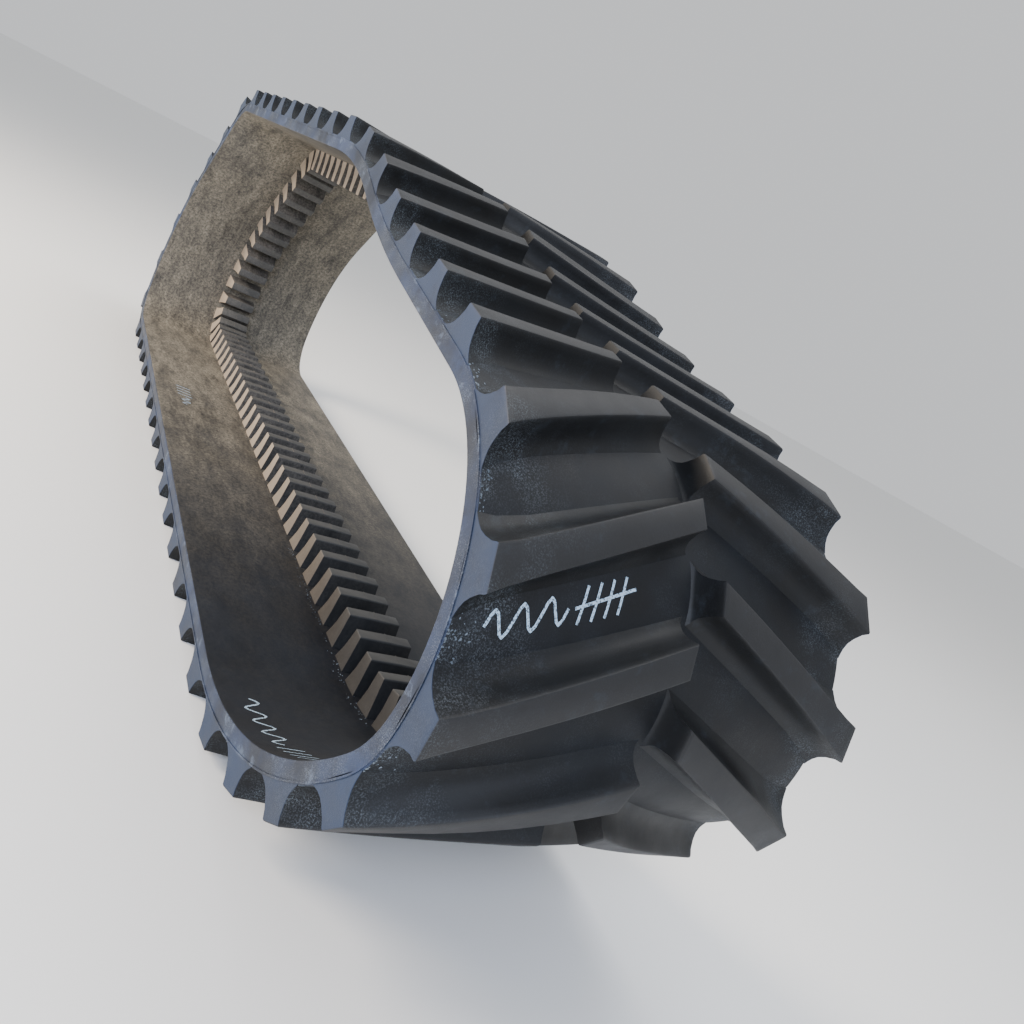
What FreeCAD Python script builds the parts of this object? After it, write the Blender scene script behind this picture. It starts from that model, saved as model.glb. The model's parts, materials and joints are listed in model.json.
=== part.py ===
import FreeCAD, Part
import math
import os

# Endless rubber track for a tracked tractor, standing on its tread.
# X runs along the loop (round end at +X), Y is the belt's width, Z is up.
# The loop is followed counter-clockwise seen from -Y, along its cord line:
# offsets are positive towards the tread and negative towards the inside.

# ---- belt ----
BELT_WIDTH = 698.5
GROUND_RUN = 2240.0            # straight stretch that lies on the ground
INNER_SKIN = 10.0              # cord line to the inner surface
TREAD_SKIN = 20.0              # cord line to the outer surface between bars
EDGE_WIDTH = 14.0              # solid rubber edge with no cord in it
LAYERS = {"inner_cover": (-INNER_SKIN, -2.0), "main_cables": (-2.0, 2.0),
          "bias_plies": (2.0, 5.0), "tread_base": (5.0, TREAD_SKIN)}

# ---- guide lugs ----
LUG_COUNT = 88
LUG_HEIGHT = 76.0
LUG_BASE_ACROSS, LUG_CREST_ACROSS = 140.0, 120.0
LUG_BASE_ALONG, LUG_CREST_ALONG = 54.0, 30.0
LUG_EDGE = 4.0                 # bevel round the crest
ROOT = 7.0                     # how far a root is drawn into the belt before trimming

# ---- tread bars ----
BAR_COUNT = 44                 # on each half of the belt
BAR_HEIGHT = 52.0
BAR_SLANT = math.radians(20.5)
BAR_PHASE = 0.94               # of one bar pitch, at the start of the round end
BAR_STAGGER = 0.45             # of one bar pitch, between the two halves
BAR_INNER_GAP = 4.0            # centre line to a bar's blunt inner end
# distance from the belt's edge, length along the loop at the root and at the crest
BAR_STATIONS = ((0.0, 96.0, 46.0), (26.0, 80.0, 42.0), (74.0, 70.0, 40.0))
BAR_INNER_STATION = (64.0, 38.0)

# ---- bending lines ----
SWAY = math.radians(4.0)       # how far each bending line turns either way
SLIT = 0.25                    # half the gap at a bending line's axis
FRONT_TOP_LUG = 19             # the line at the front of the top run lies after this many lugs
REAR_TOP_LUG = 48
SLIT_REACH = 100.0
MARGIN = 10.0                  # how far a trimming tool runs past the belt
FLATNESS = 1e-5                # four corners closer to one plane than this are flat

# ---- shape of the loop: turn in degrees and radius of the cord line, or a straight ----
SOLVED = None
STRETCHES = (("turn", 50.0, 745.8), ("turn", 35.0, 190.5), ("turn", 75.0, 327.8),
             ("turn", 10.0, 300.0), ("straight", 294.0), ("turn", -10.0, 2103.6),
             ("turn", 20.0, 953.5), ("straight", SOLVED), ("turn", 48.05, 190.0),
             ("straight", SOLVED), ("turn", 51.95, 561.5), ("turn", 80.0, 184.6))

BODIES = ("front_bend", "top_run", "rear_bend", "ground_run")
HALF = BELT_WIDTH / 2


class Stretch:
    """One straight or round piece of the cord line."""

    def __init__(self, start, x, z, heading, length, radius=None):
        self.start, self.x, self.z = start, x, z
        self.heading, self.length, self.radius = heading, length, radius
        self.turn = length / radius if radius else 0.0

    def at(self, s, offset=0.0):
        along = s - self.start
        if self.radius:
            end = self.heading + along / self.radius
            x = self.x + self.radius * (math.sin(end) - math.sin(self.heading))
            z = self.z + self.radius * (math.cos(self.heading) - math.cos(end))
        else:
            end = self.heading
            x, z = self.x + along * math.cos(end), self.z + along * math.sin(end)
        return x + offset * math.sin(end), z - offset * math.cos(end), end

    def edge(self, offset, stop=None):
        points = [self.at(self.start + self.length * part, offset)[:2] for part in (0, 0.5, 1)]
        if stop:
            points[2] = stop
        first, middle, last = (FreeCAD.Vector(x, -HALF, z) for x, z in points)
        if self.radius:
            return Part.Arc(first, middle, last).toShape()
        return Part.LineSegment(first, last).toShape()


def run_chain(rows):
    """Lay the rows end to end from the origin, heading along +X."""
    chain, s, x, z, heading = [], 0.0, 0.0, 0.0, 0.0
    for row in rows:
        if row[0] == "straight":
            piece = Stretch(s, x, z, heading, row[1])
        else:
            angle, radius = math.radians(row[1]), row[2] * math.copysign(1, row[1])
            piece = Stretch(s, x, z, heading, abs(angle) * row[2], radius)
        chain.append(piece)
        s += piece.length
        x, z, heading = piece.at(s)
    return chain, s, x, z


def close_loop(rows):
    """Find the two open straights so that the loop ends where the ground run starts."""
    open_rows = [i for i, row in enumerate(rows) if row[-1] is SOLVED]
    trial = [("straight", 0.0) if row[-1] is SOLVED else row for row in rows]
    chain, _, x, z = run_chain(trial)
    first, second = (chain[i].heading for i in open_rows)
    need_x, need_z = -GROUND_RUN - x, -z
    turn = math.sin(second - first)
    trial[open_rows[0]] = ("straight", (need_x * math.sin(second) - need_z * math.cos(second)) / turn)
    trial[open_rows[1]] = ("straight", (need_z * math.cos(first) - need_x * math.sin(first)) / turn)
    return run_chain(trial + [("straight", GROUND_RUN)])[:2]


CHAIN, LOOP = close_loop(list(STRETCHES))
LUG_PITCH = LOOP / LUG_COUNT
BAR_PITCH = LOOP / BAR_COUNT


def stretch_at(s):
    return [c for c in CHAIN if c.start <= s % LOOP + 1e-9][-1]


def locate(s, offset=0.0):
    """Point and heading at a distance along the loop."""
    return stretch_at(s).at(s % LOOP, offset)


def vector(s, offset, y):
    x, z, _ = locate(s, offset)
    return FreeCAD.Vector(x, y, z)


def loop_face(offset):
    edges = [c.edge(offset) for c in CHAIN[:-1]]
    start = CHAIN[0].at(0, offset)[:2]
    edges.append(CHAIN[-1].edge(offset, stop=start))
    return Part.Face(Part.Wire(edges))


def ring(low, high, y0, y1):
    """Closed band of the belt between two offsets and two places across its width."""
    face = loop_face(high).cut(loop_face(low))
    face.translate(FreeCAD.Vector(0, y0 + HALF, 0))
    return face.extrude(FreeCAD.Vector(0, y1 - y0, 0))


def bending_lines():
    """Arc length and axis of each bending line; the four axes form a parallelogram."""
    marks = [0.0, FRONT_TOP_LUG * LUG_PITCH, REAR_TOP_LUG * LUG_PITCH, LOOP - GROUND_RUN]
    places = [locate(s) for s in marks]
    axes = [(x, z) for x, z, _ in places]
    axes[2] = (axes[1][0] - GROUND_RUN, axes[1][1])
    return marks, axes, [heading for _, _, heading in places]


MARKS, AXES, HEADINGS = bending_lines()


def slit(axis, heading):
    """Bow-tie tool that leaves room for the belt to bend about an axis."""
    wide = SLIT + SLIT_REACH * math.tan(SWAY)
    outline = [(-SLIT, 0), (-wide, SLIT_REACH), (wide, SLIT_REACH),
               (SLIT, 0), (wide, -SLIT_REACH), (-wide, -SLIT_REACH)]
    points = [FreeCAD.Vector(axis[0] + t * math.cos(heading) + n * math.sin(heading),
                             -HALF - MARGIN,
                             axis[1] + t * math.sin(heading) - n * math.cos(heading))
              for t, n in outline]
    face = Part.Face(Part.makePolygon(points + points[:1]))
    return face.extrude(FreeCAD.Vector(0, BELT_WIDTH + 2 * MARGIN, 0))


SLITS = [slit(axis, heading) for axis, heading in zip(AXES, HEADINGS)]


def middle_of(body):
    ends = MARKS + [LOOP]
    return (ends[body] + ends[body + 1]) / 2


def body_at(s):
    return max(i for i, mark in enumerate(MARKS) if mark <= s % LOOP)


def split_ring(low, high, y0, y1):
    """Cut a band at the bending lines; one solid for each body."""
    pieces = ring(low, high, y0, y1).cut(Part.makeCompound(SLITS)).Solids
    found = []
    for body in range(len(BODIES)):
        probe = vector(middle_of(body), (low + high) / 2, (y0 + y1) / 2)
        found += [p for p in pieces if p.isInside(probe, 1e-3, True)]
    return found


def section(s, y, low, high, base, crest):
    """Corners of a bar's trapezoid, bent with the belt: root length and crest length."""
    radius = stretch_at(s).radius
    points = []
    for t, n in ((-base / 2, low), (base / 2, low), (crest / 2, high), (-crest / 2, high)):
        along = t / (1 + n / radius) if radius else t
        points.append(vector(s + along, n, y))
    return points


def quad_faces(a, b, c, d):
    """One flat face through four corners, or two triangles where they don't lie flat."""
    normal = (b - a).cross(c - a).normalize()
    if abs(normal.dot(d - a)) < FLATNESS:
        return [Part.Face(Part.makePolygon([a, b, c, d, a]))]
    return [Part.Face(Part.makePolygon([a, b, c, a])), Part.Face(Part.makePolygon([a, c, d, a]))]


def faceted_solid(sections):
    """Closed solid over a row of four-cornered sections."""
    faces = quad_faces(*sections[0]) + quad_faces(*sections[-1])
    for first, second in zip(sections, sections[1:]):
        for i in range(4):
            j = (i + 1) % 4
            faces += quad_faces(first[i], first[j], second[j], second[i])
    shell = Part.Shell(faces)
    shell.sewShape()
    solid = Part.Solid(shell)
    if solid.Volume < 0:
        solid.reverse()
    return solid


def tread_bar(index, side):
    """One slanted bar from the belt's edge to the centre line; side is -1 or 1."""
    shift = 0.0 if side < 0 else BAR_STAGGER
    outer = (index + BAR_PHASE + shift) * BAR_PITCH
    low, high = TREAD_SKIN - ROOT, TREAD_SKIN + BAR_HEIGHT
    grow = BAR_HEIGHT / (BAR_HEIGHT + ROOT)
    rows = [(HALF - inset, base, crest) for inset, base, crest in BAR_STATIONS]
    rows.append((BAR_INNER_GAP,) + BAR_INNER_STATION)
    sections = []
    for reach, base, crest in rows:
        s = outer + (HALF - reach) * math.tan(BAR_SLANT)
        root = crest + (base - crest) / grow
        sections.append(section(s, side * reach, low, high, root, crest))
    return outer, faceted_solid(sections)


def crosses(bar):
    return [i for i, tool in enumerate(SLITS) if bar.common(tool).Volume > 0]


def behind(solid, line):
    """True when a solid lies before a bending line along the loop."""
    axis, heading = AXES[line], HEADINGS[line]
    centre = solid.CenterOfMass
    return (centre.x - axis[0]) * math.cos(heading) + (centre.z - axis[1]) * math.sin(heading) < 0


def tread_bars(side, trim):
    """All bars of one half, sorted by body, cut where a bending line crosses them."""
    sorted_bars = [[] for _ in BODIES]
    for index in range(BAR_COUNT):
        outer, bar = tread_bar(index, side)
        bar = bar.cut(trim)
        lines = crosses(bar)
        if not lines:
            middle = outer + HALF / 2 * math.tan(BAR_SLANT)
            sorted_bars[body_at(middle)] += bar.Solids
            continue
        for piece in bar.cut(SLITS[lines[0]]).Solids:
            body = lines[0] - 1 if behind(piece, lines[0]) else lines[0]
            sorted_bars[body % len(BODIES)].append(piece)
    return sorted_bars


def lug_blank():
    """One guide lug on a flat belt: across is Y, along is X, the crest is up."""
    def rectangle(along, across, height):
        points = [FreeCAD.Vector(x * along / 2, y * across / 2, height)
                  for x, y in ((-1, -1), (1, -1), (1, 1), (-1, 1))]
        return Part.makePolygon(points + points[:1])

    spread = ROOT / LUG_HEIGHT
    base_along = LUG_BASE_ALONG + (LUG_BASE_ALONG - LUG_CREST_ALONG) * spread
    base_across = LUG_BASE_ACROSS + (LUG_BASE_ACROSS - LUG_CREST_ACROSS) * spread
    lug = Part.makeLoft([rectangle(base_along, base_across, -ROOT),
                         rectangle(LUG_CREST_ALONG, LUG_CREST_ACROSS, LUG_HEIGHT)], True, True)
    crest = [e for e in lug.Edges if e.BoundBox.ZMin > LUG_HEIGHT - 1]
    return lug.makeChamfer(LUG_EDGE, crest)


def guide_lugs(trim):
    sorted_lugs = [[] for _ in BODIES]
    blank = lug_blank()
    for index in range(LUG_COUNT):
        s = (index + 0.5) * LUG_PITCH
        x, z, heading = locate(s, -INNER_SKIN)
        lug = blank.copy()
        lug.rotate(FreeCAD.Vector(), FreeCAD.Vector(0, 1, 0), -math.degrees(heading))
        lug.translate(FreeCAD.Vector(x, 0, z))
        sorted_lugs[body_at(s)] += lug.cut(trim).Solids
    return sorted_lugs


def build():
    """Every node of the track by name, still at the chain's own origin."""
    nodes = {}
    core = HALF - EDGE_WIDTH
    for layer, (low, high) in LAYERS.items():
        for body, solid in zip(BODIES, split_ring(low, high, -core, core)):
            nodes[body + "_" + layer] = [solid]
    for name, y0, y1 in (("edge_left", -HALF, -core), ("edge_right", core, HALF)):
        for body, solid in zip(BODIES, split_ring(-INNER_SKIN, TREAD_SKIN, y0, y1)):
            nodes[body + "_" + name] = [solid]
    trim = ring(-INNER_SKIN, TREAD_SKIN, -HALF - MARGIN, HALF + MARGIN)
    for body, lugs in zip(BODIES, guide_lugs(trim)):
        nodes[body + "_guide_lugs"] = lugs
    for name, side in (("bars_left", -1), ("bars_right", 1)):
        for body, bars in zip(BODIES, tread_bars(side, trim)):
            nodes[body + "_" + name] = bars
    return nodes


def main():
    os.makedirs("parts", exist_ok=True)
    nodes = {name: Part.makeCompound(solids) for name, solids in build().items()}
    box = FreeCAD.BoundBox()
    for shape in nodes.values():
        box.add(shape.BoundBox)
    shift = FreeCAD.Vector(-(box.XMin + box.XMax) / 2, 0, -box.ZMin)
    for name, shape in nodes.items():
        shape.translate(shift)
        shape.exportStep("parts/" + name + ".step")
    for mark, axis in zip(MARKS, AXES):
        print("bending line at", round(mark, 2), "axis x", round(axis[0] + shift.x, 3),
              "z", round(axis[1] + shift.z, 3))
    print("loop", round(LOOP, 3), "shift", round(shift.x, 3), round(shift.z, 3),
          "size", round(box.XLength, 1), round(box.YLength, 1), round(box.ZLength, 1))


main()
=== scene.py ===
import json
import logging
import math
import random
from collections.abc import Callable
from dataclasses import dataclass, field
from enum import Enum

import bpy
import numpy as np
from mathutils import Matrix, Vector


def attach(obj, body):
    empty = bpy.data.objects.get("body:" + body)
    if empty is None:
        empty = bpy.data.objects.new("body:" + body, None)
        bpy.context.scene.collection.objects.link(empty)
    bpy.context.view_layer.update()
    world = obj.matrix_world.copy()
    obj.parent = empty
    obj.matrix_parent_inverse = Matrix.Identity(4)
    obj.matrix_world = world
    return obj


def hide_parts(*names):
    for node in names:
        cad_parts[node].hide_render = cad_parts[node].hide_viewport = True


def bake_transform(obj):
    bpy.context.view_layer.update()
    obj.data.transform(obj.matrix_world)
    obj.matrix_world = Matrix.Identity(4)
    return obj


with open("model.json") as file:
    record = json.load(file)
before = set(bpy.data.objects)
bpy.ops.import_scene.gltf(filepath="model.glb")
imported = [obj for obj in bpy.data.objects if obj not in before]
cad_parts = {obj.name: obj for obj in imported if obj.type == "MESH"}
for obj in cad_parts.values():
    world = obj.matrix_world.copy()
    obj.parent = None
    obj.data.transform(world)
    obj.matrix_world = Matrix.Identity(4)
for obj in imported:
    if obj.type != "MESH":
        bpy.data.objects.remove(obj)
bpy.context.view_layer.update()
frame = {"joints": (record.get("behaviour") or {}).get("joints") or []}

LOG = logging.getLogger("rubber_track")
MM = 0.001

# ---- belt, in metres ----
HALF_WIDTH = 349.25 * MM
INNER_SKIN = 10 * MM           # cord line to the inner surface
TREAD_SKIN = 20 * MM           # cord line to the outer surface between bars
GROUND_RUN = 2240 * MM
LUG_COUNT = 88
BAR_COUNT = 44                 # on each half
OPEN_LEAN = math.radians(2.1)  # lean of each end face at the opened line of the linkage
TOP_BEND_LUGS = 19             # lug pitches from the front of the ground run to the top bend
OPENED_LUGS = 48               # and to the opened line
FRONT_DIVIDE = 0.90            # where rigid lengths of the belt are divided into pieces
REAR_DIVIDE = 4.40
NEAR = 1e-5                    # places closer than this count as the same
# turn in degrees and radius in mm of the cord line; no turn is a straight; None is solved
STRETCHES = ((50.0, 745.8), (35.0, 190.5), (75.0, 327.8), (10.0, 300.0), (0.0, 294.0),
             (-10.0, 2103.6), (20.0, 953.5), (0.0, None), (48.05, 190.0), (0.0, None),
             (51.95, 561.5), (80.0, 184.6))


class Half(Enum):
    """The two halves of the tread, by the sign of Y."""

    LEFT = -1
    RIGHT = 1


class Side(Enum):
    """The two faces of the belt, by the sign of the offset from the cord line."""

    INSIDE = -1
    TREAD = 1


@dataclass(frozen=True)
class Stretch:
    """One round or straight length of the cord line."""

    start: float
    x: float
    z: float
    heading: float
    length: float
    bend: float

    def end(self) -> tuple[float, float, float]:
        """Return x, z and heading where the stretch ends."""
        turned = self.heading + self.length * self.bend
        if not self.bend:
            return (self.x + self.length * math.cos(turned),
                    self.z + self.length * math.sin(turned), turned)
        return (self.x + (math.sin(turned) - math.sin(self.heading)) / self.bend,
                self.z + (math.cos(self.heading) - math.cos(turned)) / self.bend, turned)


@dataclass
class CordLine:
    """The loop that the steel cords follow, seen from -Y and followed counter-clockwise."""

    rows: tuple
    ground_run: float
    origin: tuple[float, float]
    stretches: list = field(default_factory=list)
    length: float = 0.0

    def __post_init__(self) -> None:
        """Solve the two open straights so that the loop closes."""
        rows = [(turn, 0.0 if radius is None else radius * MM) for turn, radius in self.rows]
        self._lay(rows)
        open_rows = [i for i, row in enumerate(self.rows) if row[1] is None]
        first, second = (self.stretches[i].heading for i in open_rows)
        x, z, _ = self.stretches[-1].end()
        need_x = self.origin[0] - self.ground_run - x
        need_z = self.origin[1] - z
        turn = math.sin(second - first)
        rows[open_rows[0]] = (0.0, (need_x * math.sin(second) - need_z * math.cos(second)) / turn)
        rows[open_rows[1]] = (0.0, (need_z * math.cos(first) - need_x * math.sin(first)) / turn)
        self._lay(rows + [(0.0, self.ground_run)])

    def _lay(self, rows: list) -> None:
        """Lay stretches end to end from the origin, heading along +X.

        Args:
            rows: Turn in degrees, and radius or length in metres, of each stretch.
        """
        self.stretches, start = [], 0.0
        x, z, heading = self.origin[0], self.origin[1], 0.0
        for turn, size in rows:
            length = abs(math.radians(turn)) * size if turn else size
            bend = math.copysign(1 / size, turn) if turn else 0.0
            piece = Stretch(start, x, z, heading, length, bend)
            self.stretches.append(piece)
            x, z, heading = piece.end()
            start += length
        self.length = start

    def locate(self, s: np.ndarray, offset: np.ndarray) -> tuple:
        """Find places on the loop.

        Args:
            s: Distances along the cord line.
            offset: Distances from it, positive towards the tread.

        Returns:
            Arrays of x, z and heading.
        """
        s = np.mod(s, self.length)
        starts = np.array([piece.start for piece in self.stretches])
        index = np.clip(np.searchsorted(starts, s + 1e-9, side="right") - 1, 0, None)
        x, z, first, bend = (np.array([getattr(piece, name) for piece in self.stretches])[index]
                             for name in ("x", "z", "heading", "bend"))
        along = s - starts[index]
        heading = first + along * bend
        safe = np.where(bend == 0, 1.0, bend)
        x = x + np.where(bend == 0, along * np.cos(first), (np.sin(heading) - np.sin(first)) / safe)
        z = z + np.where(bend == 0, along * np.sin(first), (np.cos(first) - np.cos(heading)) / safe)
        return x + offset * np.sin(heading), z - offset * np.cos(heading), heading

    def wrap(self, flat: np.ndarray) -> np.ndarray:
        """Carry points laid out flat (s, y, offset) round the loop to X, Y, Z."""
        x, z, _ = self.locate(flat[:, 0], flat[:, 2])
        return np.stack([x, flat[:, 1], z], axis=1)


# ---------------------------------------------------------------- mesh helpers
def read_points(piece: bpy.types.Object) -> np.ndarray:
    """Return a mesh's vertices as rows of x, y, z."""
    points = np.empty(len(piece.data.vertices) * 3)
    piece.data.vertices.foreach_get("co", points)
    return points.reshape(-1, 3)


def write_points(piece: bpy.types.Object, points: np.ndarray) -> None:
    """Put a mesh's vertices at new places."""
    piece.data.vertices.foreach_set("co", points.ravel())
    piece.data.update()


def stamp(piece: bpy.types.Object, name: str, rows: np.ndarray) -> None:
    """Store one vector per vertex, which the finishes read.

    Args:
        piece: The mesh.
        name: The attribute's name.
        rows: One vector for each vertex.
    """
    layer = piece.data.attributes.get(name)
    if layer is None:
        layer = piece.data.attributes.new(name, "FLOAT_VECTOR", "POINT")
    layer.data.foreach_set("vector", rows.astype(np.float32).ravel())


def stamp_place(piece: bpy.types.Object, flat: np.ndarray, loop: float) -> None:
    """Store where each vertex lies on the flat belt, and the same without a seam.

    Args:
        piece: The mesh.
        flat: Its vertices as distance along the loop, Y and offset.
        loop: Length of the loop.
    """
    angle = flat[:, 0] * math.tau / loop
    radius = loop / math.tau
    stamp(piece, "flat_place", flat)
    stamp(piece, "ring_place",
          np.stack([radius * np.cos(angle), radius * np.sin(angle), flat[:, 1]], axis=1))


def start_solid(name: str, size: tuple, centre: tuple) -> bpy.types.Object:
    """Add a block at its size and place, alone in the selection and in edit mode.

    Args:
        name: The object's name.
        size: Its three sides.
        centre: Its middle.

    Returns:
        The new object.
    """
    bpy.ops.object.select_all(action="DESELECT")
    bpy.ops.mesh.primitive_cube_add(size=1, location=centre)
    piece = bpy.context.object
    piece.name = piece.data.name = name
    piece.scale = size
    bpy.ops.object.transform_apply(location=True, rotation=True, scale=True)
    bpy.ops.object.mode_set(mode="EDIT")
    return piece


def slice_at(axis: int, places: tuple) -> None:
    """Cut the mesh in edit mode with planes across one axis.

    Args:
        axis: 0, 1 or 2 for X, Y or Z.
        places: Where the planes stand along it.
    """
    normal = [0.0, 0.0, 0.0]
    normal[axis] = 1.0
    for place in places:
        point = [0.0, 0.0, 0.0]
        point[axis] = place
        bpy.ops.mesh.select_all(action="SELECT")
        bpy.ops.mesh.bisect(plane_co=point, plane_no=normal)


def select_edges(piece: bpy.types.Object, wanted: Callable[[Vector, Vector], bool]) -> None:
    """Select the edges that a test picks, and go on in edit mode.

    Args:
        piece: The mesh, in edit mode.
        wanted: Test given the two end points of an edge.
    """
    bpy.ops.mesh.select_mode(type="EDGE")
    bpy.ops.mesh.select_all(action="DESELECT")
    bpy.ops.object.mode_set(mode="OBJECT")
    points = [vertex.co for vertex in piece.data.vertices]
    for edge in piece.data.edges:
        edge.select = bool(wanted(points[edge.vertices[0]], points[edge.vertices[1]]))
    bpy.ops.object.mode_set(mode="EDIT")


def select_faces(piece: bpy.types.Object, wanted: Callable[[Vector, Vector], bool]) -> None:
    """Select the faces that a test picks, and go on in edit mode.

    Args:
        piece: The mesh, in edit mode.
        wanted: Test given the centre and normal of a face.
    """
    bpy.ops.mesh.select_mode(type="FACE")
    bpy.ops.mesh.select_all(action="DESELECT")
    bpy.ops.object.mode_set(mode="OBJECT")
    for polygon in piece.data.polygons:
        polygon.select = bool(wanted(polygon.center, polygon.normal))
    bpy.ops.object.mode_set(mode="EDIT")


def close_up(piece: bpy.types.Object, angle: float) -> None:
    """Turn all faces outwards, leave edit mode and smooth the shading.

    Args:
        piece: The mesh, in edit mode.
        angle: Edges that turn by fewer degrees than this are shaded smooth.
    """
    bpy.ops.mesh.select_all(action="SELECT")
    bpy.ops.mesh.normals_make_consistent(inside=False)
    bpy.ops.object.mode_set(mode="OBJECT")
    bpy.ops.object.select_all(action="DESELECT")
    piece.select_set(True)
    bpy.context.view_layer.objects.active = piece
    bpy.ops.object.shade_smooth_by_angle(angle=math.radians(angle))


def copy_of(master: bpy.types.Object, name: str) -> bpy.types.Object:
    """Copy a master with its own mesh.

    Args:
        master: The object to copy.
        name: The copy's name.

    Returns:
        The copy, linked to the scene.
    """
    piece = master.copy()
    piece.data = master.data.copy()
    piece.name = piece.data.name = name
    bpy.context.scene.collection.objects.link(piece)
    return piece


def join_as(name: str, parts: list) -> bpy.types.Object:
    """Join objects into one under a new name.

    Args:
        name: The joined object's name.
        parts: The objects, of which the first is kept.

    Returns:
        The joined object.
    """
    bpy.ops.object.select_all(action="DESELECT")
    for part in parts:
        part.select_set(True)
    bpy.context.view_layer.objects.active = parts[0]
    if len(parts) > 1:
        bpy.ops.object.join()
    parts[0].name = parts[0].data.name = name
    return parts[0]


def discard(piece: bpy.types.Object) -> None:
    """Remove a master once its copies are made."""
    bpy.data.objects.remove(piece, do_unlink=True)


# ---------------------------------------------------------------- finishes
def srgb(code: str) -> tuple[float, float, float, float]:
    """Turn a hex colour such as "#202225" into linear red, green, blue and alpha."""
    parts = [int(code[i:i + 2], 16) / 255 for i in (1, 3, 5)]
    linear = [p / 12.92 if p <= 0.04045 else ((p + 0.055) / 1.055) ** 2.4 for p in parts]
    return (*linear, 1.0)


def add_node(tree: bpy.types.NodeTree, kind: str, settings: dict | None = None,
             links: dict | None = None) -> bpy.types.Node:
    """Add one node with its settings, values and links.

    Args:
        tree: The material's or world's node tree.
        kind: The node's type.
        settings: Properties to set.
        links: A value or an output socket for each input, by name or place.

    Returns:
        The new node.
    """
    node = tree.nodes.new(kind)
    for name, value in (settings or {}).items():
        setattr(node, name, value)
    for key, value in (links or {}).items():
        if isinstance(value, bpy.types.NodeSocket):
            tree.links.new(value, node.inputs[key])
        else:
            node.inputs[key].default_value = value
    return node


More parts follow.
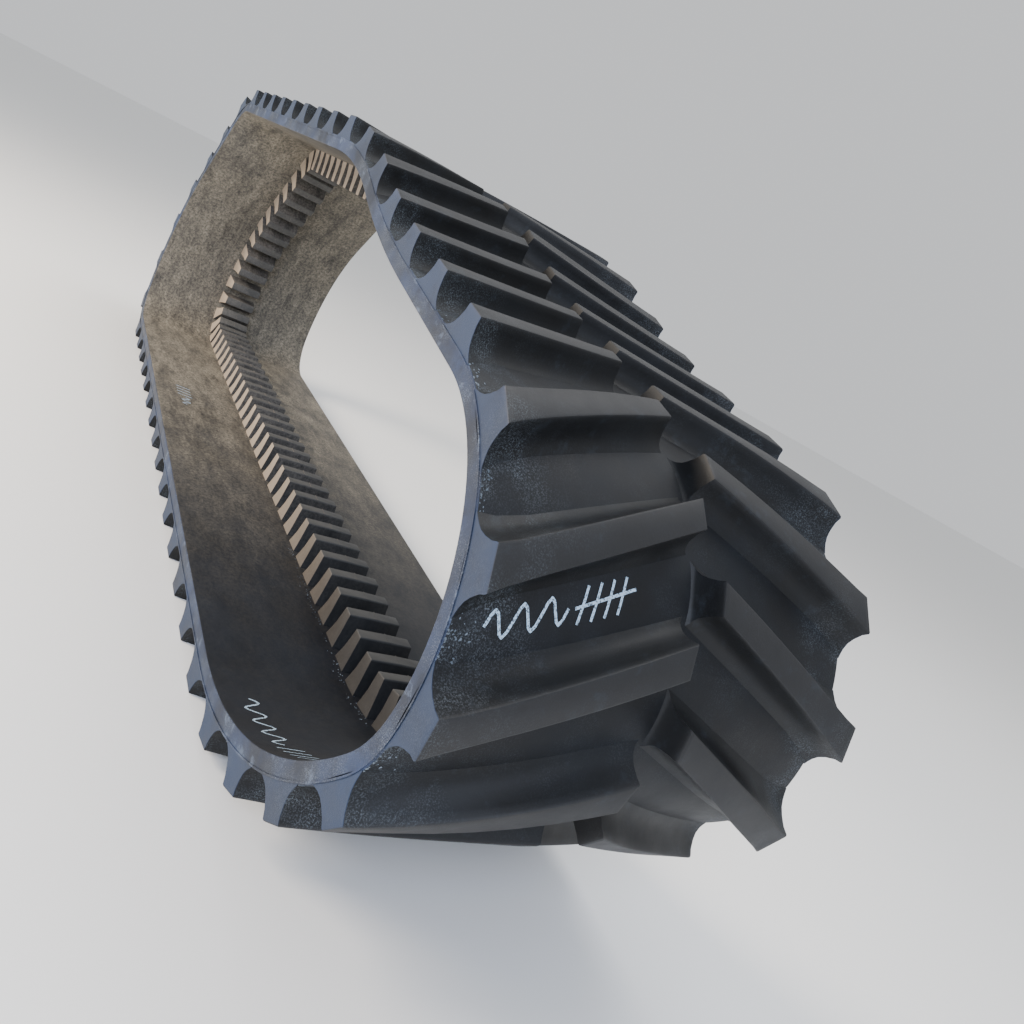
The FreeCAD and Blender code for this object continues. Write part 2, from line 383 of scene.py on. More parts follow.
@dataclass(frozen=True)
class RubberFinish:
    """Black track rubber as it leaves the mould and stands in the open.

    Carbon-black rubber is nearly black and satin. Wax and oils rise to the surface as a
    blue-grey bloom, and dust settles on it. Some layers are painted light, as noted where
    they are set.
    """

    name: str
    base: str = "#0d0e11"
    # blue-grey bloom; on the edge rubber it is a painted sky reflection
    bloom_and_sky_sheen: str = "#1e2329"
    bloom_and_sky_sheen_share: float = 0.45
    dust: str = "#8a7b66"
    dust_share: float = 0.0        # over the whole surface
    far_dust_and_sun_share: float = 0.0    # dust and painted sunlight added towards the rear of the loop
    streaks: float = 1.0           # how many times longer than wide a dust mark is
    fleck: str = "#6b747d"
    fleck_share: float = 0.0       # crumbs and scuffs by the belt's edge
    scuff: str = "#66707c"
    scuff_share: float = 0.0
    # colour of the painted highlight on the crests
    crest: str = "#2c2c2d"
    painted_highlight_from: float | None = None    # offset at which the painted highlight on the crests starts
    painted_highlight_share: float = 0.0
    # colour of the painted sunlight on the flanks
    painted_sun_flank: str = "#7d7060"
    painted_sun_flank_share: float = 0.0       # painted sunlight on the faces that look to -Y
    painted_end_reflection: str = "#27344b"
    painted_end_reflection_share: float = 0.0         # painted sky reflection on faces in the plane of the belt's edge
    roughness: float = 0.56
    grain: float = 2.1 * MM        # mould grain, drawn coarser than the real 1 mm so that it shows
    grain_depth: float = 0.35 * MM

    def dust_and_sun_layer(self, tree: bpy.types.NodeTree, place: bpy.types.Node,
                   colour: bpy.types.NodeSocket, shine: bpy.types.NodeSocket) -> tuple:
        """Lay dust over the rubber, with more towards the rear of the loop, where it is also
        painted sunlight.

        Args:
            tree: The material's node tree.
            place: Its texture coordinates.
            colour: The colour below the dust.
            shine: The roughness below the dust.

        Returns:
            Sockets of the colour and the roughness with the dust and painted sunlight on.
        """
        ring = add_node(tree, "ShaderNodeAttribute", {"attribute_name": "ring_place"})
        # dust drawn out along the loop where the wheels ran
        stretch = add_node(tree, "ShaderNodeMapping", links={
            0: ring.outputs["Vector"], 3: (1 / self.streaks, 1 / self.streaks, 1.0)})
        drift = add_node(tree, "ShaderNodeTexNoise", links={
            "Vector": stretch.outputs[0], "Scale": 1 / (55 * MM), "Detail": 10.0,
            "Roughness": 0.78})
        drift_share = add_node(tree, "ShaderNodeMapRange", links={
            0: drift.outputs[0], 1: 0.36, 2: 0.68, 3: 0.25, 4: 1.0})
        speckle = add_node(tree, "ShaderNodeTexNoise", links={
            "Vector": place.outputs["Object"], "Scale": 1 / (9 * MM), "Detail": 5.0,
            "Roughness": 0.8})
        speckle_share = add_node(tree, "ShaderNodeMapRange", links={
            0: speckle.outputs[0], 1: 0.38, 2: 0.60, 3: 0.35, 4: 1.15})
        settled = add_node(tree, "ShaderNodeMath", {"operation": "MULTIPLY",
                                                    "use_clamp": True}, {
            0: drift_share.outputs[0], 1: speckle_share.outputs[0]})
        where = add_node(tree, "ShaderNodeSeparateXYZ", links={0: place.outputs["Object"]})
        # stronger towards the rear: real dust, and painted sunlight on the far part
        far = add_node(tree, "ShaderNodeMapRange", {"interpolation_type": "SMOOTHSTEP"}, {
            0: where.outputs["X"], 1: 0.9, 2: -0.9, 3: self.dust_share,
            4: self.dust_share + self.far_dust_and_sun_share})
        dust_and_sun = add_node(tree, "ShaderNodeMath", {"operation": "MULTIPLY"}, {
            0: settled.outputs[0], 1: far.outputs[0]})
        colour = add_node(tree, "ShaderNodeMix", {"data_type": "RGBA"}, {
            0: dust_and_sun.outputs[0], 6: colour, 7: srgb(self.dust)}).outputs[2]
        shine = add_node(tree, "ShaderNodeMath", {"operation": "MULTIPLY_ADD"}, {
            0: dust_and_sun.outputs[0], 1: 0.3, 2: shine}).outputs[0]
        return colour, shine

    def painted_sun_flank_layer(self, tree: bpy.types.NodeTree, place: bpy.types.Node,
                    colour: bpy.types.NodeSocket) -> bpy.types.NodeSocket:
        """Paint sunlight on the faces that look to -Y, stronger towards the rear.

        Args:
            tree: The material's node tree.
            place: Its texture coordinates.
            colour: The colour below.

        Returns:
            The colour's socket with this layer on.
        """
        facing = add_node(tree, "ShaderNodeSeparateXYZ", links={0: place.outputs["Normal"]})
        painted_sun_flank = add_node(tree, "ShaderNodeMapRange", links={
            0: facing.outputs["Y"], 1: -0.55, 2: -0.9, 3: 0.0, 4: self.painted_sun_flank_share})
        ahead = add_node(tree, "ShaderNodeSeparateXYZ", links={0: place.outputs["Object"]})
        painted_sun_far = add_node(tree, "ShaderNodeMapRange", {
            "interpolation_type": "SMOOTHSTEP"}, {
            0: ahead.outputs["X"], 1: 0.9, 2: -0.3, 3: 0.05, 4: 1.0})
        painted_sun_amount = add_node(tree, "ShaderNodeMath", {"operation": "MULTIPLY"}, {
            0: painted_sun_flank.outputs[0], 1: painted_sun_far.outputs[0]})
        return add_node(tree, "ShaderNodeMix", {"data_type": "RGBA"}, {
            0: painted_sun_amount.outputs[0], 6: colour, 7: srgb(self.painted_sun_flank)}).outputs[2]

    def painted_end_reflection_layer(self, tree: bpy.types.NodeTree, reach: bpy.types.Node,
                  clouds: bpy.types.Node, colour: bpy.types.NodeSocket) -> bpy.types.NodeSocket:
        """Paint a sky reflection on the faces in the plane of the belt's edge.

        Args:
            tree: The material's node tree.
            reach: Distance from the middle of the belt.
            clouds: The bloom's clouds, which break up the painted reflection.
            colour: The colour below.

        Returns:
            The colour's socket with this layer on.
        """
        # painted sky reflection, only on faces at the belt's edge
        end_band = add_node(tree, "ShaderNodeMapRange", links={
            0: reach.outputs[0], 1: HALF_WIDTH - 1.2 * MM, 2: HALF_WIDTH - 0.3 * MM,
            3: 0.0, 4: self.painted_end_reflection_share})
        end_cloud = add_node(tree, "ShaderNodeMath", {"operation": "MULTIPLY"}, {
            0: end_band.outputs[0], 1: clouds.outputs[0]})
        end_strong = add_node(tree, "ShaderNodeMath", {"operation": "MULTIPLY",
                                                       "use_clamp": True}, {
            0: end_cloud.outputs[0], 1: 1.7})
        return add_node(tree, "ShaderNodeMix", {"data_type": "RGBA"}, {
            0: end_strong.outputs[0], 6: colour, 7: srgb(self.painted_end_reflection)}).outputs[2]

    def scuff_layer(self, tree: bpy.types.NodeTree, place: bpy.types.Node,
                    colour: bpy.types.NodeSocket) -> bpy.types.NodeSocket:
        """Mark the rubber with rubs and stains.

        Args:
            tree: The material's node tree.
            place: Its texture coordinates.
            colour: The colour below.

        Returns:
            The colour's socket with this layer on.
        """
        # pale rubs and dark stains, about 40 mm across and torn at their rims
        rubs = add_node(tree, "ShaderNodeTexNoise", links={
            "Vector": place.outputs["Object"], "Scale": 1 / (38 * MM), "Detail": 9.0,
            "Roughness": 0.72})
        pale = add_node(tree, "ShaderNodeMapRange", links={
            0: rubs.outputs[0], 1: 0.56, 2: 0.66, 3: 0.0, 4: self.scuff_share})
        stain = add_node(tree, "ShaderNodeMapRange", links={
            0: rubs.outputs[0], 1: 0.44, 2: 0.36, 3: 0.0, 4: self.scuff_share})
        colour = add_node(tree, "ShaderNodeMix", {"data_type": "RGBA"}, {
            0: pale.outputs[0], 6: colour, 7: srgb(self.scuff)}).outputs[2]
        colour = add_node(tree, "ShaderNodeMix", {"data_type": "RGBA"}, {
            0: stain.outputs[0], 6: colour, 7: srgb(self.base)}).outputs[2]
        return colour

    def make(self) -> bpy.types.Material:
        """Build the material's nodes, layer over layer, and return it."""
        material = bpy.data.materials.new(self.name)
        material.use_nodes = True
        tree = material.node_tree
        tree.nodes.clear()
        flat = add_node(tree, "ShaderNodeAttribute", {"attribute_name": "flat_place"})
        place = add_node(tree, "ShaderNodeTexCoord")
        split = add_node(tree, "ShaderNodeSeparateXYZ", links={0: flat.outputs["Vector"]})
        reach = add_node(tree, "ShaderNodeMath", {"operation": "ABSOLUTE"},
                         {0: split.outputs["Y"]})
        # bloom, and on the edge rubber a painted sky reflection: soft clouds about 130 mm across
        # with 20 mm detail
        clouds = add_node(tree, "ShaderNodeTexNoise", links={
            "Vector": place.outputs["Object"], "Scale": 1 / (130 * MM), "Detail": 6.0,
            "Roughness": 0.62})
        cloud_share = add_node(tree, "ShaderNodeMapRange", links={
            0: clouds.outputs[0], 1: 0.38, 2: 0.72, 3: 0.0, 4: self.bloom_and_sky_sheen_share})
        colour = add_node(tree, "ShaderNodeMix", {"data_type": "RGBA"}, {
            0: cloud_share.outputs[0], 6: srgb(self.base), 7: srgb(self.bloom_and_sky_sheen)}).outputs[2]
        # grain of the mould face, and crumbs that stand up from it near the edge
        grain = add_node(tree, "ShaderNodeTexNoise", links={
            "Vector": place.outputs["Object"], "Scale": 1 / self.grain, "Detail": 4.0,
            "Roughness": 0.75})
        edge_band = add_node(tree, "ShaderNodeMapRange", {"interpolation_type": "SMOOTHSTEP"}, {
            0: reach.outputs[0], 1: 0.20, 2: 0.345, 3: 0.12, 4: 1.0})
        patches = add_node(tree, "ShaderNodeTexNoise", links={
            "Vector": place.outputs["Object"], "Scale": 1 / (60 * MM), "Detail": 4.0})
        patch_share = add_node(tree, "ShaderNodeMapRange", links={
            0: patches.outputs[0], 1: 0.42, 2: 0.66, 3: 0.1, 4: 1.0})
        fleck_cut = add_node(tree, "ShaderNodeMapRange", links={
            0: grain.outputs[0], 1: 0.50, 2: 0.63, 3: 0.0, 4: self.fleck_share})
        fleck_near = add_node(tree, "ShaderNodeMath", {"operation": "MULTIPLY"}, {
            0: fleck_cut.outputs[0], 1: edge_band.outputs[0]})
        fleck_here = add_node(tree, "ShaderNodeMath", {"operation": "MULTIPLY"}, {
            0: fleck_near.outputs[0], 1: patch_share.outputs[0]})
        colour = add_node(tree, "ShaderNodeMix", {"data_type": "RGBA"}, {
            0: fleck_here.outputs[0], 6: colour, 7: srgb(self.fleck)}).outputs[2]
        shine = add_node(tree, "ShaderNodeMapRange", links={
            0: clouds.outputs[0], 1: 0.3, 2: 0.75, 3: self.roughness - 0.07,
            4: self.roughness + 0.10}).outputs[0]
        if self.dust_share or self.far_dust_and_sun_share:
            colour, shine = self.dust_and_sun_layer(tree, place, colour, shine)
        if self.painted_highlight_from is not None:
            # painted highlight: a lighter colour on the top few millimetres of the crests
            crest_highlight = add_node(tree, "ShaderNodeMapRange", links={
                0: split.outputs["Z"], 1: self.painted_highlight_from,
                2: self.painted_highlight_from + math.copysign(4 * MM, self.painted_highlight_from),
                3: 0.0, 4: self.painted_highlight_share})
            colour = add_node(tree, "ShaderNodeMix", {"data_type": "RGBA"}, {
                0: crest_highlight.outputs[0], 6: colour, 7: srgb(self.crest)}).outputs[2]
        if self.painted_sun_flank_share:
            colour = self.painted_sun_flank_layer(tree, place, colour)
        if self.painted_end_reflection_share:
            colour = self.painted_end_reflection_layer(tree, reach, clouds, colour)
        if self.scuff_share:
            colour = self.scuff_layer(tree, place, colour)
        rough_edge = add_node(tree, "ShaderNodeMath", {"operation": "MULTIPLY"}, {
            0: edge_band.outputs[0], 1: patch_share.outputs[0]})
        raised = add_node(tree, "ShaderNodeMath", {"operation": "MULTIPLY_ADD"}, {
            0: rough_edge.outputs[0], 1: 0.8, 2: 0.25})
        bump = add_node(tree, "ShaderNodeBump", links={
            "Strength": raised.outputs[0], "Distance": self.grain_depth,
            "Height": grain.outputs[0]})
        waves = add_node(tree, "ShaderNodeBump", links={
            "Strength": 0.35, "Distance": 3 * MM, "Height": clouds.outputs[0],
            "Normal": bump.outputs[0]})
        shader = add_node(tree, "ShaderNodeBsdfPrincipled", links={
            "Base Color": colour, "Roughness": shine, "IOR": 1.52, "Specular IOR Level": 0.28,
            "Normal": waves.outputs[0]})
        add_node(tree, "ShaderNodeOutputMaterial", links={"Surface": shader.outputs[0]})
        return material


@dataclass(frozen=True)
class PlainFinish:
    """A matt surface of one even colour, as the studio floor has."""

    name: str
    colour: str
    roughness: float

    def make(self) -> bpy.types.Material:
        """Build the material and return it."""
        material = bpy.data.materials.new(self.name)
        material.use_nodes = True
        shader = material.node_tree.nodes["Principled BSDF"]
        shader.inputs["Base Color"].default_value = srgb(self.colour)
        shader.inputs["Roughness"].default_value = self.roughness
        return material


@dataclass(frozen=True)
class ChalkFinish:
    """Wax chalk rubbed over grained rubber: it catches the high grains and skips the low."""

    name: str
    colour: str
    under: str

    def make(self) -> bpy.types.Material:
        """Build the material and return it."""
        material = bpy.data.materials.new(self.name)
        material.use_nodes = True
        tree = material.node_tree
        place = add_node(tree, "ShaderNodeTexCoord")
        grain = add_node(tree, "ShaderNodeTexNoise", links={
            "Vector": place.outputs["Object"], "Scale": 1 / (2.5 * MM), "Detail": 3.0})
        caught = add_node(tree, "ShaderNodeMapRange", links={
            0: grain.outputs[0], 1: 0.36, 2: 0.5, 3: 0.1, 4: 1.0})
        colour = add_node(tree, "ShaderNodeMix", {"data_type": "RGBA"}, {
            0: caught.outputs[0], 6: srgb(self.under), 7: srgb(self.colour)})
        shader = tree.nodes["Principled BSDF"]
        tree.links.new(colour.outputs[2], shader.inputs["Base Color"])
        shader.inputs["Roughness"].default_value = 0.85
        return material


TREAD_RUBBER = RubberFinish("moulded_tread_rubber", fleck_share=0.8, bloom_and_sky_sheen_share=0.4,
                            roughness=0.6, grain_depth=0.6 * MM)
# the bar ends carry a painted sky reflection
BAR_RUBBER = RubberFinish("moulded_bar_rubber", base="#0a0b0d", bloom_and_sky_sheen="#181c21", bloom_and_sky_sheen_share=0.45,
                          fleck_share=0.6, painted_highlight_from=TREAD_SKIN + 47 * MM, painted_highlight_share=0.5,
                          painted_end_reflection_share=1.0, roughness=0.54, scuff="#39424c", scuff_share=0.16,
                          grain_depth=0.5 * MM)
# the blue base and bloom of the edge faces are a painted sky reflection; the flecks and scuffs are
# marks on the rubber
EDGE_RUBBER_PAINTED_SKY = RubberFinish("trimmed_edge_rubber_painted_sky", base="#101827", bloom_and_sky_sheen="#273654",
                           bloom_and_sky_sheen_share=1.0, fleck="#87919c", fleck_share=0.5, scuff="#66748a",
                           scuff_share=0.5, roughness=0.5, grain=1.8 * MM)
# the navy base is a painted skylight tint for the shade; the pale rear is dust and painted sunlight
INNER_RUBBER = RubberFinish("calendered_inner_rubber", base="#0b0f17", bloom_and_sky_sheen="#19212d",
                            dust="#a39b8b", dust_share=0.03, far_dust_and_sun_share=0.78, streaks=2.6,
                            roughness=0.56, grain_depth=0.3 * MM)
# the tan on the -Y flanks is painted sunlight; the crests carry a painted highlight
LUG_RUBBER = RubberFinish("dusty_lug_rubber_painted_sun", base="#0f1114", bloom_and_sky_sheen="#1f2328", dust="#85807a",
                          dust_share=0.06, far_dust_and_sun_share=0.70, streaks=1.0, crest="#4f5050",
                          painted_highlight_from=-INNER_SKIN - 72 * MM, painted_highlight_share=0.6,
                          painted_sun_flank="#a09282", painted_sun_flank_share=0.85, roughness=0.6)
CRUMB_RUBBER = RubberFinish("torn_flash_rubber", base="#3a424b", bloom_and_sky_sheen="#7c8792",
                            bloom_and_sky_sheen_share=1.0, roughness=0.7)
CHALK = ChalkFinish("wax_chalk", "#a9c0d4", "#2a2f36")


# ---------------------------------------------------------------- sections of the loop
@dataclass(frozen=True)
class Section:
    """A length of the loop: its pieces ride with one body, or, where it holds a bend line, are
    baked in place.
    """

    name: str
    start: float
    stop: float
    bodies: tuple[str, ...]
    bend_at: tuple[float, float] | None = None
    bend_heading: float = 0.0
    bend_reach: float = 60 * MM

    def holds(self, s: float) -> bool:
        """Tell whether a place along the loop lies in this section."""
        return self.start <= s < self.stop

    def attach(self, piece: bpy.types.Object, suffixes: tuple[str, ...], slot: str) -> None:
        """Attach a piece to the section's first body, or bake it in place where the section has a
        bend line, and hide the CAD nodes that it stands for.

        Args:
            piece: A finished piece.
            suffixes: Ends of the names of the nodes that it stands for.
            slot: The record's material slot; not used.
        """
        if self.bend_at:
            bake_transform(piece)
        else:
            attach(piece, self.bodies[0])
        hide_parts(*(f"{body}_{suffix}" for body in self.bodies for suffix in suffixes))
        LOG.info("%s: %d vertices", piece.name, len(piece.data.vertices))


def loop_sections(line: CordLine) -> list[Section]:
    """Divide the loop where a body is rigid, and at the opened line of the linkage.

    Args:
        line: The cord line.

    Returns:
        The sections in order round the loop, from the middle of the ground run.
    """
    at = {joint["name"]: joint["pos_m"] for joint in frame["joints"]}
    front, top, rear = (at[name] for name in ("front_ground_bend", "front_top_bend",
                                              "rear_ground_bend"))
    pitch = line.length / LUG_COUNT
    opened, ground_middle = OPENED_LUGS * pitch, line.length - GROUND_RUN / 2
    _, _, top_heading = line.locate(np.array([TOP_BEND_LUGS * pitch]), np.array([0.0]))
    return [
        Section("front_low", ground_middle - line.length, FRONT_DIVIDE,
                ("ground_run", "front_bend"), (front[0], front[2])),
        Section("front_top", FRONT_DIVIDE, opened, ("front_bend", "top_run"), (top[0], top[2]),
                float(top_heading[0])),
        Section("rear_top", opened, REAR_DIVIDE, ("rear_bend",)),
        Section("rear_low", REAR_DIVIDE, ground_middle, ("rear_bend", "ground_run"),
                (rear[0], rear[2]))]


def home_of(sections: list[Section], s: float, loop: float) -> Section:
    """Find the section that holds a place along the loop.

    Args:
        sections: The sections in order.
        s: The place, from the front of the ground run.
        loop: Length of the loop.

    Returns:
        The section.
    """
    if s >= sections[-1].stop:
        s -= loop
    return next(section for section in sections if section.holds(s))


# ---------------------------------------------------------------- belt
@dataclass
class BeltStrip:
    """The belt itself over one section: inner face, tread face and trimmed edges."""

    line: CordLine
    section: Section
    opened: float                  # place of the opened line along the loop
    corner: float = 3.0 * MM
    rib: tuple[float, float, float] = (15.0 * MM, 18.0 * MM, 1.3 * MM)   # low, high, height
    step: float = 18 * MM

    def model(self) -> bpy.types.Object:
        """Model the strip flat, with its edge rib and rounded corners, and wrap it."""
        length = self.section.stop - self.section.start
        thick = INNER_SKIN + TREAD_SKIN
        piece = start_solid(f"belt_{self.section.name}", (length, 2 * HALF_WIDTH, thick),
                            ((self.section.start + self.section.stop) / 2, 0,
                             (TREAD_SKIN - INNER_SKIN) / 2))
        low, high, height = self.rib
        slice_at(2, (low, high))
        select_faces(piece, lambda c, n: abs(n.y) > 0.9 and low < c.z < high)
        bpy.ops.mesh.extrude_region_shrink_fatten(
            TRANSFORM_OT_shrink_fatten={"value": height})
        select_edges(piece, lambda a, b: abs(a.x - b.x) > length / 2
                     and abs(abs(a.y) - HALF_WIDTH) < NEAR
                     and (a.z < -INNER_SKIN + NEAR or a.z > TREAD_SKIN - NEAR))
        bpy.ops.mesh.bevel(offset=self.corner, segments=3, affect="EDGES")
        select_edges(piece, lambda a, b: abs(a.x - b.x) > length / 2)
        bpy.ops.mesh.subdivide(number_cuts=9)
        select_edges(piece, lambda a, b: abs(a.x - b.x) > length / 20)
        bpy.ops.mesh.subdivide(number_cuts=max(1, round(length / 10 / self.step)))
        close_up(piece, 40)
        # at the opened line both ends lean away from it, on each side of the cord line
        points = read_points(piece)
        away = math.copysign(math.tan(OPEN_LEAN), self.section.start + length / 2 - self.opened)
        points[:, 0] += np.where(np.abs(points[:, 0] - self.opened) < NEAR,
                                 away * np.abs(points[:, 2]), 0)
        write_points(piece, points)
        return piece

    def dress(self, piece: bpy.types.Object) -> None:
        """Give each face its finish, then wrap the strip round the loop.

        Args:
            piece: The flat strip.
        """
        for finish in (INNER_RUBBER, TREAD_RUBBER, EDGE_RUBBER_PAINTED_SKY):
            piece.data.materials.append(bpy.data.materials[finish.name])
        for polygon in piece.data.polygons:
            if abs(polygon.center.y) > HALF_WIDTH - 1.5 * MM:
                polygon.material_index = 2
            elif polygon.center.z > 0:
                polygon.material_index = 1
        flat = read_points(piece)
        stamp_place(piece, flat, self.line.length)
        write_points(piece, self.line.wrap(flat))

    def build(self) -> None:
        """Model, dress and attach the strip."""
        piece = self.model()
        self.dress(piece)
        self.section.attach(piece, ("inner_cover", "main_cables", "bias_plies", "tread_base",
                                    "edge_left", "edge_right"), "inner_rubber")


# ---------------------------------------------------------------- tread bars
@dataclass
class TreadBars:
    """The slanted bars of one half: flared outer ends, hollow flanks, blunt inner ends."""

    line: CordLine
    sections: list
    half: Half
    height: float = 52 * MM
    slant: float = math.radians(20.5)
    phase: float = 0.94
    stagger: float = 0.45
    inner_gap: float = 4 * MM
    # distance from the belt's edge, length along the loop at the root and at the crest
    stations: tuple = ((0.0, 96.0, 46.0), (26.0, 80.0, 42.0), (74.0, 70.0, 40.0),
                       (345.25, 64.0, 38.0))
    hollow: float = 2.1            # how hollow the flanks are; 1 is flat
    inner_lean: float = 14 * MM    # how far the blunt inner end leans back at its crest
    inner_curve: float = 0.4
    foot: float = 9 * MM           # how far the fillet at the root runs out over the belt
    foot_height: float = 14 * MM
    sunk: float = 3 * MM
    levels: tuple = (0.0, 3 * MM, 7 * MM, 14 * MM, 24 * MM, 38 * MM)
    cuts: tuple = (12.0, 26.0, 48.0, 74.0, 120.0, 166.0, 212.0, 258.0, 300.0, 325.0)

    def half_width(self, reach: np.ndarray, height: np.ndarray) -> np.ndarray:
        """Find how far a bar's flanks stand from its middle.

        Args:
            reach: Distances from the belt's edge.
            height: Heights above the belt's outer surface.

        Returns:
            Half the bar's length along the loop at each place.
        """
        table = np.array(self.stations) * MM
        root = np.interp(reach, table[:, 0], table[:, 1])
        crest = np.interp(reach, table[:, 0], table[:, 2])
        rise = np.clip(height / self.height, 0, 1)
        foot = self.foot * np.clip(1 - height / self.foot_height, 0, 1) ** 2
        return crest / 2 + (root - crest) / 2 * (1 - rise) ** self.hollow + foot

    def master(self) -> bpy.types.Object:
        """Model one bar upright on a flat belt: X along, Y from the edge inwards."""
        span = HALF_WIDTH - self.inner_gap
        tall = self.height + self.sunk
        piece = start_solid(f"bar_master_{self.half.name.lower()}", (60 * MM, span, tall),
                            (0, span / 2, self.height - tall / 2))
        slice_at(1, tuple(cut * MM for cut in self.cuts))
        slice_at(2, self.levels)
        bpy.ops.object.mode_set(mode="OBJECT")
        points = read_points(piece)
        rise = np.clip(points[:, 2] / self.height, 0, 1)
        # the blunt inner end leans back a little and has a fillet at its root
        inner = points[:, 1] > span - NEAR
        lean = span - self.inner_lean * rise ** self.inner_curve
        points[:, 1] = np.where(inner, lean, points[:, 1])
        wide = self.half_width(points[:, 1], points[:, 2])
        points[:, 0] = np.sign(points[:, 0]) * wide
        write_points(piece, points)
        bpy.ops.object.mode_set(mode="EDIT")
        top = self.height - NEAR
        select_edges(piece, lambda a, b: a.z > top and b.z > top
                     and (a.x * b.x > 0 or abs(a.y - b.y) < NEAR)
                     and (a.x * b.x > 0 or a.y < NEAR or a.y > span - 15 * MM))
        bpy.ops.mesh.bevel(offset=3.2 * MM, segments=2, affect="EDGES", clamp_overlap=True)
        close_up(piece, 38)
        return piece

    def lay_flat(self, piece: bpy.types.Object, index: int) -> np.ndarray:
        """Lay a bar's vertices on the flat belt, slanted and in its place.

        Args:
            piece: The bar's master.
            index: The bar's number round the loop.

        Returns:
            Rows of distance along the loop, Y and offset.
        """
        points = read_points(piece)
        shift = 0.0 if self.half is Half.LEFT else self.stagger
        outer = (index + self.phase + shift) * self.line.length / BAR_COUNT
        along = outer + points[:, 0] + points[:, 1] * math.tan(self.slant)
        across = self.half.value * (HALF_WIDTH - points[:, 1])
        return np.stack([along, across, TREAD_SKIN + points[:, 2]], axis=1)

    def cut_at(self, piece: bpy.types.Object, place: float, keep_before: bool) -> None:
        """Cut a flat bar across the loop, leaning so that the two parts can close up.

        Args:
            piece: The bar.
            place: Where to cut along the loop.
            keep_before: Whether the part before the cut is kept, or the part after it.
        """
        bpy.ops.object.select_all(action="DESELECT")
        bpy.context.view_layer.objects.active = piece
        piece.select_set(True)
        bpy.ops.object.mode_set(mode="EDIT")
        bpy.ops.mesh.select_all(action="SELECT")
        lean = math.tan(OPEN_LEAN) * (1 if keep_before else -1)
        bpy.ops.mesh.bisect(plane_co=(place, 0, 0), plane_no=(1, 0, lean), use_fill=True,
                            clear_outer=keep_before, clear_inner=not keep_before)
        bpy.ops.object.mode_set(mode="OBJECT")

    def build(self) -> None:
        """Copy the master round the loop and join the copies of each section."""
        master = self.master()
        master.data.materials.append(bpy.data.materials[BAR_RUBBER.name])
        opened = self.sections[1].stop
        groups = {section.name: [] for section in self.sections}
        for index in range(BAR_COUNT):
            name = f"bar_{self.half.name.lower()}_{index:02d}"
            flat = self.lay_flat(master, index)
            crossing = flat[:, 0].min() < opened < flat[:, 0].max()
            for before in ((True, False) if crossing else (None,)):
                piece = copy_of(master, name)
                write_points(piece, flat)
                if before is not None:
                    self.cut_at(piece, opened, before)
                if not piece.data.polygons:
                    discard(piece)
                    continue
                points = read_points(piece)
                if self.half is Half.LEFT:
                    piece.data.flip_normals()
                middle = (points[:, 0].min() + points[:, 0].max()) / 2
                home = home_of(self.sections, middle, self.line.length)
                stamp_place(piece, points, self.line.length)
                write_points(piece, self.line.wrap(points))
                groups[home.name].append(piece)
        for section in self.sections:
            side = self.half.name.lower()
            joined = join_as(f"bars_{side}_{section.name}", groups[section.name])
            section.attach(joined, (f"bars_{side}",), "tread_rubber")
        discard(master)


